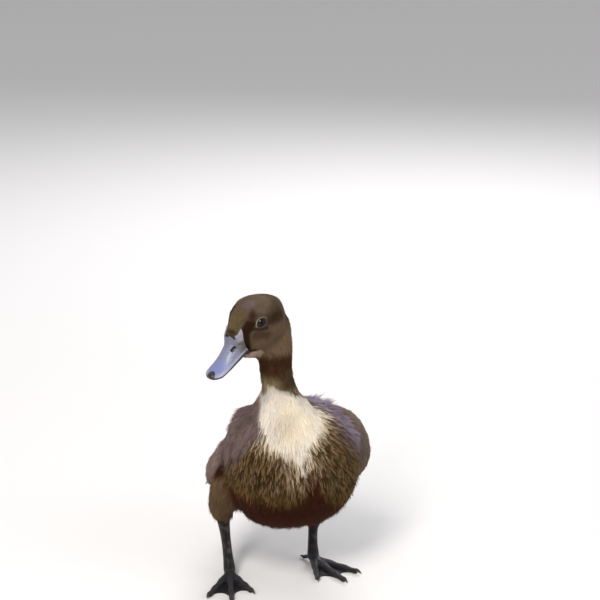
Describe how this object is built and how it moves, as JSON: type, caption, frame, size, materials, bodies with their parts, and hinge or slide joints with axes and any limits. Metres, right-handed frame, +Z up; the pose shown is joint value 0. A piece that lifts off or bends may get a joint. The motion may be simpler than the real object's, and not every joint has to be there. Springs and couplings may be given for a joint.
{
  "type": "duckling",
  "caption": "Black Swedish duckling standing on webbed feet, head turned to its right, with a cream bib on dark brown down, a slate-blue bill and short hanging wings.",
  "frame": {"origin": "middle of the bottom of the bird's box, on the floor that the soles stand on", "axes": "+Z up, -Y the way the breast faces, +X towards the bird's left side"},
  "size_m": [0.1262, 0.1682, 0.2051],
  "materials": {
    "down_head": "short soft down",
    "down_body": "dense soft down",
    "down_thigh": "soft down",
    "bill_horn": "satin horn",
    "leg_skin": "scaled damp skin",
    "eye_gloss": "wet gloss"
  },
  "bodies": {
    "root": {"torso": "down_body", "neck": "down_head", "head": "down_head", "bill_upper": "bill_horn", "bill_lower": "bill_horn", "eye_left": "eye_gloss", "eye_right": "eye_gloss", "wing_left": "down_body", "wing_right": "down_body", "tail": "down_body", "thigh_left": "down_thigh", "thigh_right": "down_thigh", "shank_left": "leg_skin", "shank_right": "leg_skin", "foot_left": "leg_skin", "foot_right": "leg_skin"}
  },
  "joints": []
}
